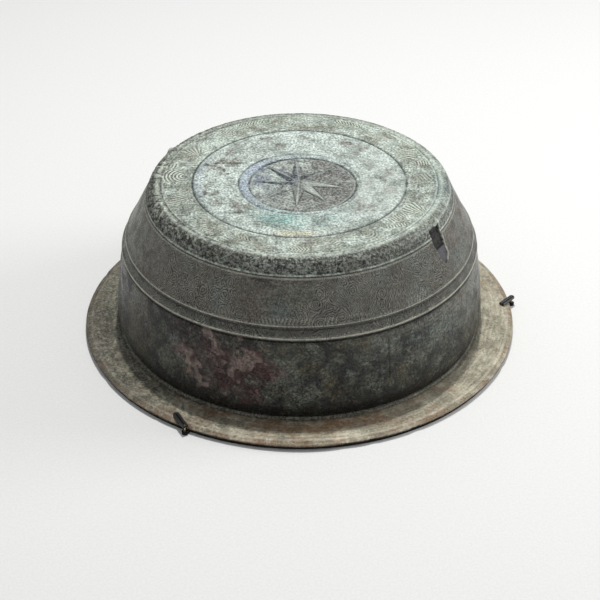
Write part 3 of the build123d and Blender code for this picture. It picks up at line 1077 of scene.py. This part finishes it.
    def _drawn(self) -> bpy.types.NodeTree:
        """Fine drawing lines and tarnish of brass wire and tube."""
        tree, sheet, given, out = new_group(
            "drawn brass", {"Fineness": "Float"}, {"Streak": "Float", "Tarnish": "Float"}
        )
        coords = sheet.node("ShaderNodeTexCoord").outputs["Object"]
        stretched = sheet.node(
            "ShaderNodeMapping", {"Vector": coords, "Scale": (1.0, 1.0, 0.12)}
        ).outputs[0]
        streak = sheet.node(
            "ShaderNodeTexNoise", {"Vector": stretched, "Scale": given["Fineness"], "Detail": 3.0}
        ).outputs["Fac"]
        sheet.feed(out["Streak"], streak)
        sheet.feed(out["Tarnish"], sheet.step(sheet.noise(coords, 700.0, 3.0), 0.4, 0.65))
        return tree


# ---------------------------------------------------------------- finishes


def new_material(name: str) -> tuple[bpy.types.Material, Sheet]:
    """An empty node material and its sheet."""
    material = bpy.data.materials.new(name)
    material.use_nodes = True
    return material, Sheet(material.node_tree)


def finish_with(sheet: Sheet, inputs: dict, height: Socket, depth: float, strength: float = 1.0) -> None:
    """Principled shader with a bump of a height value, and the material's output."""
    bump = sheet.node("ShaderNodeBump", {"Height": height, "Distance": depth, "Strength": strength})
    shader = sheet.node("ShaderNodeBsdfPrincipled", {**inputs, "Normal": bump.outputs[0]})
    sheet.node("ShaderNodeOutputMaterial", {"Surface": shader.outputs[0]})


@dataclass(frozen=True)
class BronzeFinish:
    """Patina of one zone of the bronze."""

    name: str
    light: Colour
    dark: Colour
    brown: Colour
    warm: Colour
    cool: Colour
    # grime: grime, and painted shade at the wall's foot, the flange's neck and the left sides; line:
    # incised lines, pits and cracks, and painted shade on the flange's edge and under the lower ridge;
    # crest: worn high points, and painted highlights on the ridges and the break's edge
    grime: Colour
    line: Colour
    crest: Colour
    blue: Colour = paint(148, 164, 188)
    cracks: float = 0.35
    specks: float = 0.3
    scale: float = 60.0
    contrast: float = 0.7
    whorls: float = 0.0
    pits: float = 0.3
    grain: float = 0.3
    streak: float = 0.15
    roughness: float = 0.55
    metallic: float = 0.0
    bump: float = 0.0005

    def material(self, effects: SharedEffects) -> bpy.types.Material:
        """Lay the zone's nodes.

        Args:
            effects: the shared node groups.

        Returns:
            The material.
        """
        material, sheet = new_material(self.name)
        unrolled = sheet.group(effects.place, {}).outputs["Unrolled"]
        mottle = sheet.group(effects.mottle, {"Scale": self.scale}).outputs
        small = sheet.group(
            effects.pits, {"Scale": 330.0, "Share": self.pits, "Size": 0.42}
        ).outputs["Pits"]
        work = sheet.group(
            effects.engraving, {"Unrolled": unrolled, "Cell": 14.0, "Pitch": 2.3, "Slant": 0.9}
        ).outputs
        masks = {n: sheet.mask(n) for n in MASKS}

        drift = sheet.step(
            sheet.plus(sheet.times(mottle["Patch"], 0.65), sheet.times(mottle["Broad"], 0.35)), 0.1, 0.9
        )
        colour = sheet.mix(sheet.times(drift, self.contrast), self.light, self.dark)
        for name, tint in (
            ("brown", self.brown), ("warm", self.warm), ("cool", self.cool), ("blue", self.blue)
        ):
            edge = sheet.times(masks[name], sheet.step(mottle["Patch"], -0.4, 0.9, 0.45, 1.25), clamp=True)
            colour = sheet.mix(edge, colour, tint)
        # grime and painted shade both darken towards the zone's colour for dark marks
        stain_and_shade = sheet.times(masks["grime"], sheet.step(mottle["Grain"], 0.0, 1.0, 0.75, 1.0), clamp=True)
        colour = sheet.mix(stain_and_shade, colour, self.grime)
        grain = sheet.step(mottle["Grain"], 0.0, 1.0, 1.0 + 0.55 * self.grain, 1.0 - 0.75 * self.grain)
        streak = sheet.step(mottle["Streak"], 0.0, 1.0, 1.0 - self.streak, 1.0 + 0.6 * self.streak)
        grain = sheet.times(grain, streak)
        colour = sheet.mix(
            1.0, colour, sheet.node("ShaderNodeCombineColor", {0: grain, 1: grain, 2: grain}).outputs[0],
            "MULTIPLY"
        )
        cut = sheet.times(sheet.math("MAXIMUM", work["Whorls"], work["Hatching"]), self.whorls)
        shown = sheet.times(sheet.step(mottle["Broad"], 0.15, 0.75, 0.15, 1.0), self.whorls)
        cut = sheet.times(cut, shown)
        left_proud = sheet.minus(sheet.times(shown, 0.75), cut)
        colour = sheet.mix(sheet.times(left_proud, 0.26, clamp=True), colour, self.crest)
        colour = sheet.mix(sheet.times(cut, 0.6), colour, self.line)
        # incised lines and painted shade take the line colour; worn high points and painted highlights take
        # the crest colour
        colour = sheet.mix(sheet.times(masks["incised"], 0.9), colour, self.line)
        colour = sheet.mix(sheet.times(masks["raised"], 0.85), colour, self.crest)
        hollow = sheet.math("MAXIMUM", masks["pitted"], sheet.times(small, 0.6))
        crack = sheet.times(mottle["Crack"], sheet.step(mottle["Broad"], 0.1, 0.8, 0.3, 1.0))
        hollow = sheet.math("MAXIMUM", hollow, sheet.times(crack, self.cracks))
        colour = sheet.mix(sheet.times(hollow, 0.75), colour, self.line)
        colour = sheet.mix(sheet.times(mottle["Speck"], self.specks), colour, self.crest)
        torn = sheet.mix(mottle["Speck"], paint(12, 12, 12), paint(64, 61, 57))
        colour = sheet.mix(masks["broken"], colour, torn)

        rough = sheet.plus(
            sheet.step(drift, 0.0, 1.0, self.roughness - 0.08, self.roughness + 0.12),
            sheet.times(hollow, 0.2), clamp=True
        )
        metal = sheet.times(
            sheet.plus(self.metallic, sheet.times(masks["raised"], 0.15)), sheet.minus(1.0, masks["broken"])
        )
        height = sheet.minus(sheet.times(mottle["Grain"], 0.35), sheet.times(small, 0.8))
        height = sheet.minus(height, sheet.times(cut, 0.9))
        height = sheet.plus(height, sheet.times(mottle["Speck"], 0.25))
        height = sheet.minus(height, sheet.times(crack, self.cracks))
        gloss = sheet.step(masks["incised"], 0.2, 1.0, 0.5, 0.05)
        looks = {"Base Color": colour, "Roughness": rough, "Metallic": metal, "Specular IOR Level": gloss}
        finish_with(sheet, looks, height, self.bump)
        return material


@dataclass(frozen=True)
class FillFinish:
    """Smooth toned fill, slightly polished, with faint clouding and rubbed edges."""

    name: str = "slate fill"
    colour: Colour = paint(64, 65, 69)
    cloud: Colour = paint(88, 89, 92)

    def material(self, effects: SharedEffects) -> bpy.types.Material:
        """Lay the nodes."""
        material, sheet = new_material(self.name)
        mottle = sheet.group(effects.mottle, {"Scale": 180.0}).outputs
        colour = sheet.mix(sheet.times(mottle["Patch"], 0.55), self.colour, self.cloud)
        colour = sheet.mix(sheet.times(mottle["Grain"], 0.3), colour, paint(52, 53, 57))
        rough = sheet.step(mottle["Grain"], 0.0, 1.0, 0.42, 0.6)
        height = sheet.plus(mottle["Patch"], sheet.times(mottle["Grain"], 0.3))
        finish_with(sheet, {"Base Color": colour, "Roughness": rough}, height, 0.0004)
        return material


@dataclass(frozen=True)
class BlackFinish:
    """Black paint, foam or tubing: one build with its own grain, sheen and dust."""

    name: str
    colour: Colour
    worn: Colour
    grain: float
    roughness: float
    depth: float
    dust: float
    gloss: float = 0.08

    def material(self, effects: SharedEffects) -> bpy.types.Material:
        """Lay the nodes."""
        material, sheet = new_material(self.name)
        coords = sheet.node("ShaderNodeTexCoord").outputs["Object"]
        grain = sheet.noise(coords, self.grain, 3.0, 0.6)
        broad = sheet.noise(coords, 45.0, 4.0)
        settled = sheet.group(effects.dust, {"Amount": self.dust}).outputs
        colour = sheet.mix(sheet.step(broad, 0.35, 0.7), self.colour, self.worn)
        colour = sheet.mix(settled["Dust"], colour, paint(120, 116, 108))
        colour = sheet.mix(sheet.times(settled["Lint"], 0.35), colour, paint(92, 90, 86))
        rough = sheet.plus(
            sheet.step(grain, 0.3, 0.7, self.roughness - 0.06, self.roughness + 0.08),
            sheet.times(settled["Dust"], 0.3), clamp=True
        )
        looks = {"Base Color": colour, "Roughness": rough, "Specular IOR Level": self.gloss}
        finish_with(sheet, looks, grain, self.depth)
        return material


@dataclass(frozen=True)
class BrassFinish:
    """Drawn brass that has dulled in the air."""

    name: str
    colour: Colour
    tarnish: Colour
    fineness: float = 5200.0
    roughness: float = 0.34

    def material(self, effects: SharedEffects) -> bpy.types.Material:
        """Lay the nodes."""
        material, sheet = new_material(self.name)
        drawn = sheet.group(effects.drawn, {"Fineness": self.fineness}).outputs
        colour = sheet.mix(sheet.times(drawn["Tarnish"], 0.8), self.colour, self.tarnish)
        colour = sheet.mix(sheet.step(drawn["Streak"], 0.45, 0.7, 0.0, 0.3), colour, paint(70, 60, 40))
        rough = sheet.plus(
            sheet.step(drawn["Streak"], 0.3, 0.7, self.roughness - 0.08, self.roughness + 0.08),
            sheet.times(drawn["Tarnish"], 0.15)
        )
        metal = sheet.step(drawn["Tarnish"], 0.0, 1.0, 1.0, 0.7)
        finish_with(
            sheet, {"Base Color": colour, "Roughness": rough, "Metallic": metal}, drawn["Streak"], 0.00004
        )
        return material


@dataclass(frozen=True)
class FloorFinish:
    """Plain pale matt floor with a barely visible grain."""

    name: str = "pale floor"

    def material(self) -> bpy.types.Material:
        """Lay the nodes."""
        material, sheet = new_material(self.name)
        coords = sheet.node("ShaderNodeTexCoord").outputs["Object"]
        grain = sheet.noise(coords, 400.0, 3.0)
        colour = sheet.mix(sheet.step(grain, 0.3, 0.7), paint(238, 238, 236), paint(232, 232, 230))
        finish_with(
            sheet, {"Base Color": colour, "Roughness": sheet.step(grain, 0.2, 0.8, 0.75, 0.85)}, grain,
            0.0001
        )
        return material


FACE_FINISH = BronzeFinish(
    "mint patina of the face",
    light=paint(206, 219, 211), dark=paint(150, 161, 152), brown=paint(138, 135, 124),
    warm=paint(210, 206, 178), cool=paint(146, 186, 178), grime=paint(108, 105, 99),
    line=paint(36, 40, 46), crest=paint(230, 240, 231), blue=paint(160, 174, 192), contrast=0.85,
    pits=0.3, grain=0.6, streak=0.12, roughness=0.6, cracks=0.35,
)
BORDER_FINISH = BronzeFinish(
    "grey green patina of the border",
    light=paint(208, 221, 209), dark=paint(136, 144, 132), brown=paint(138, 135, 120),
    warm=paint(128, 116, 90), cool=paint(130, 158, 158), grime=paint(80, 79, 71),
    line=paint(28, 28, 28), crest=paint(230, 240, 224), blue=paint(92, 108, 122), contrast=0.85,
    pits=0.3, grain=0.6, streak=0.16, roughness=0.56, cracks=0.4,
)
# The shoulder's tan colour for warm marks is the painted highlight on the lower ridge.
SHOULDER_FINISH = BronzeFinish(
    "grey brown patina of the shoulder",
    light=paint(98, 98, 88), dark=paint(58, 58, 52), brown=paint(84, 74, 62),
    warm=paint(196, 180, 142), cool=paint(88, 96, 90), grime=paint(44, 44, 39),
    line=paint(10, 10, 9), crest=paint(206, 205, 190), blue=paint(112, 118, 134), contrast=0.9,
    whorls=1.0, pits=0.12, grain=0.6, streak=0.2, roughness=0.36, metallic=0.15, cracks=0.45,
    specks=0.22, bump=0.0009,
)
# The wall's near-black colour for dark marks paints its stains and drips, and also the painted shade at the
# foot and on the left side.
WALL_FINISH = BronzeFinish(
    "dark green patina of the wall",
    light=paint(96, 100, 88), dark=paint(38, 42, 37), brown=paint(98, 91, 68),
    warm=paint(78, 50, 46), cool=paint(122, 130, 122), grime=paint(14, 13, 12),
    line=paint(8, 8, 8), crest=paint(164, 146, 136), contrast=1.0, pits=0.12, grain=0.6,
    streak=0.14, roughness=0.3, metallic=0.2, cracks=0.75, specks=0.16, bump=0.0009,
)
# The flange's dark olive colour for dark marks paints its grime, and also the painted shade at the neck and
# on the left.
FLANGE_FINISH = BronzeFinish(
    "sandy patina of the flange",
    light=paint(202, 197, 174), dark=paint(152, 147, 127), brown=paint(140, 114, 86),
    warm=paint(128, 102, 84), cool=paint(150, 154, 148), grime=paint(72, 71, 57),
    line=paint(20, 18, 17), crest=paint(226, 220, 200), contrast=0.9, pits=0.1, grain=0.24,
    streak=0.2, roughness=0.44, metallic=0.05, cracks=0.32, specks=0.16,
)
PAINT_FINISH = BlackFinish(
    "black paint", colour=paint(24, 24, 25), worn=paint(34, 33, 33), grain=900.0, roughness=0.55,
    depth=0.00006, dust=0.25,
)
FOAM_FINISH = BlackFinish(
    "black foam", colour=paint(22, 22, 23), worn=paint(36, 35, 35), grain=2600.0, roughness=0.85,
    depth=0.0002, dust=0.15,
)
TUBING_FINISH = BlackFinish(
    "black tubing", colour=paint(14, 16, 19), worn=paint(24, 26, 29), grain=1400.0, roughness=0.38,
    depth=0.00005, dust=0.08, gloss=0.5,
)
ROD_FINISH = BrassFinish("drawn brass rod", colour=paint(190, 178, 140), tarnish=paint(120, 112, 84))
TUBE_FINISH = BrassFinish("dulled brass tube", colour=paint(150, 136, 98), tarnish=paint(92, 84, 62))


# ---------------------------------------------------------------- sub-assemblies


@dataclass
class GongBody:
    """The bronze casting, made as five closed rings that meet in its own lines."""

    effects: SharedEffects
    outline: BronzeOutline = field(init=False)
    relief: BronzeRelief = field(init=False)
    columns: int = 1152
    centre_columns: int = 720
    below_ridge: float = 3.6

    def __post_init__(self) -> None:
        """Take the flange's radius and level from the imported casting."""
        low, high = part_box("gong_casting")
        self.outline = BronzeOutline(flange_r=high.x / MM)
        self.relief = BronzeRelief(self.outline)
        self.top = low.z / MM + self.outline.wall

    def build(self) -> list[bpy.types.Object]:
        """Build and dress the five rings.

        Returns:
            The pieces.
        """
        ends = self.outline.ends
        under_ridge = ends["ridges"] + self.below_ridge
        rings = (
            (
                BronzeRing("gong_face_centre", 0.0, self.relief.field_r, self.centre_columns, 1.05),
                FACE_FINISH
            ),
            (
                BronzeRing("gong_face_border", self.relief.field_r, ends["shoulder"], self.columns, 0.86),
                BORDER_FINISH
            ),
            (
                BronzeRing("gong_shoulder", ends["shoulder"], under_ridge, self.columns, 0.95),
                SHOULDER_FINISH
            ),
            (BronzeRing("gong_wall", under_ridge, ends["neck"], self.columns, 1.35), WALL_FINISH),
            (BronzeFlange("gong_flange", ends["neck"], ends["edge"], self.columns, 0.9), FLANGE_FINISH),
        )
        pieces = []
        for ring, finish in rings:
            piece = ring.build(self.outline, self.relief, self.top)
            piece.data.materials.append(finish.material(self.effects))
            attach(piece, ROOT)
            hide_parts("gong_casting")
            pieces.append(piece)
            LOG.info("%s: %d faces", piece.name, len(piece.data.polygons))
        return pieces


def dress(node: str, material: bpy.types.Material) -> None:
    """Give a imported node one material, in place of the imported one."""
    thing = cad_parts[node]
    thing.data.materials.clear()
    thing.data.materials.append(material)
    LOG.info("%s: %s", node, material.name)


@dataclass
class ClipMount:
    """Plate, gasket, fill and the three clips, which keep their imported shapes and are given finishes."""

    effects: SharedEffects
    clips: tuple[str, ...] = ("right", "rear", "front")

    def build(self) -> None:
        """Dress every node of the mount."""
        flat_nodes = {"loss_fill": FillFinish(), "support_plate": PAINT_FINISH, "rim_gasket": FOAM_FINISH}
        for node, finish in flat_nodes.items():
            dress(node, finish.material(self.effects))
        finishes = (TUBING_FINISH, ROD_FINISH, TUBE_FINISH)
        tubing, rod, tube = (finish.material(self.effects) for finish in finishes)
        kinds = {"sheath": tubing, "wire": rod, "leg": rod, "socket": tube}
        for clip, (kind, material) in product(self.clips, kinds.items()):
            dress(f"{clip}_clip_{kind}", material)


# ---------------------------------------------------------------- floor, light and camera


@dataclass
class Studio:
    """Pale floor, soft lights and the camera."""

    floor_half: float = 6.0
    floor_gap: float = 0.0002
    key_place: tuple[float, float, float] = (0.03, 0.48, 2.4)
    fill_place: tuple[float, float, float] = (2.2, 0.4, 1.0)
    lamp_aim: tuple[float, float, float] = (0.0, 0.0, 0.1)
    lamp_colour: Colour = (1.0, 0.99, 0.97)
    sky: tuple[float, float, float, float] = (0.93, 0.95, 1.0, 1.0)
    camera_place: tuple[float, float, float] = (0.0006, -1.6079, 1.1009)
    camera_tilt: float = 56.185
    lens: float = 99.0
    sensor: float = 36.0
    world_level: float = 0.40

    def floor(self) -> bpy.types.Object:
        """A flat square at the level on which the mount stands."""
        h = self.floor_half
        z = CAD_BOX[0].z - self.floor_gap
        points = np.array([[-h, -h, z], [h, -h, z], [h, h, z], [-h, h, z]])
        thing = make_mesh("floor", points, np.array([[0, 1, 2, 3]]))
        thing.data.materials.append(FloorFinish().material())
        return thing

    def lamp(self, name: str, place: tuple, size: float, power: float) -> None:
        """One square light that looks at the object.

        Args:
            name: the light's name.
            place: where it is, in metres.
            size: its side, in metres.
            power: its power in watts.
        """
        data = bpy.data.lights.new(name, "AREA")
        data.shape, data.size, data.energy, data.color = "SQUARE", size, power, self.lamp_colour
        thing = bpy.data.objects.new(name, data)
        thing.location = place
        thing.rotation_euler = (Vector(self.lamp_aim) - Vector(place)).to_track_quat("-Z", "Y").to_euler()
        bpy.context.scene.collection.objects.link(thing)

    def build(self) -> None:
        """Set up floor, lights, world and camera."""
        self.floor()
        self.lamp("key", self.key_place, 0.09, 37.0)
        self.lamp("right fill", self.fill_place, 1.1, 25.0)
        world = bpy.data.worlds.new("studio")
        world.use_nodes = True
        background = world.node_tree.nodes["Background"]
        background.inputs["Color"].default_value = self.sky
        background.inputs["Strength"].default_value = self.world_level
        bpy.context.scene.world = world
        data = bpy.data.cameras.new("camera")
        data.lens, data.sensor_width = self.lens, self.sensor
        data.clip_start, data.clip_end = 0.05, 50.0
        camera = bpy.data.objects.new("camera", data)
        camera.location = self.camera_place
        camera.rotation_euler = (radians(self.camera_tilt), 0.0, 0.0)
        bpy.context.scene.collection.objects.link(camera)
        bpy.context.scene.camera = camera
        bpy.context.scene.view_settings.view_transform = "Standard"


def main() -> None:
    """Build the object and its studio in order."""
    logging.basicConfig(level=logging.INFO, format="%(name)s %(message)s")
    effects = SharedEffects()
    GongBody(effects).build()
    ClipMount(effects).build()
    Studio().build()


if __name__ == "__main__":
    main()
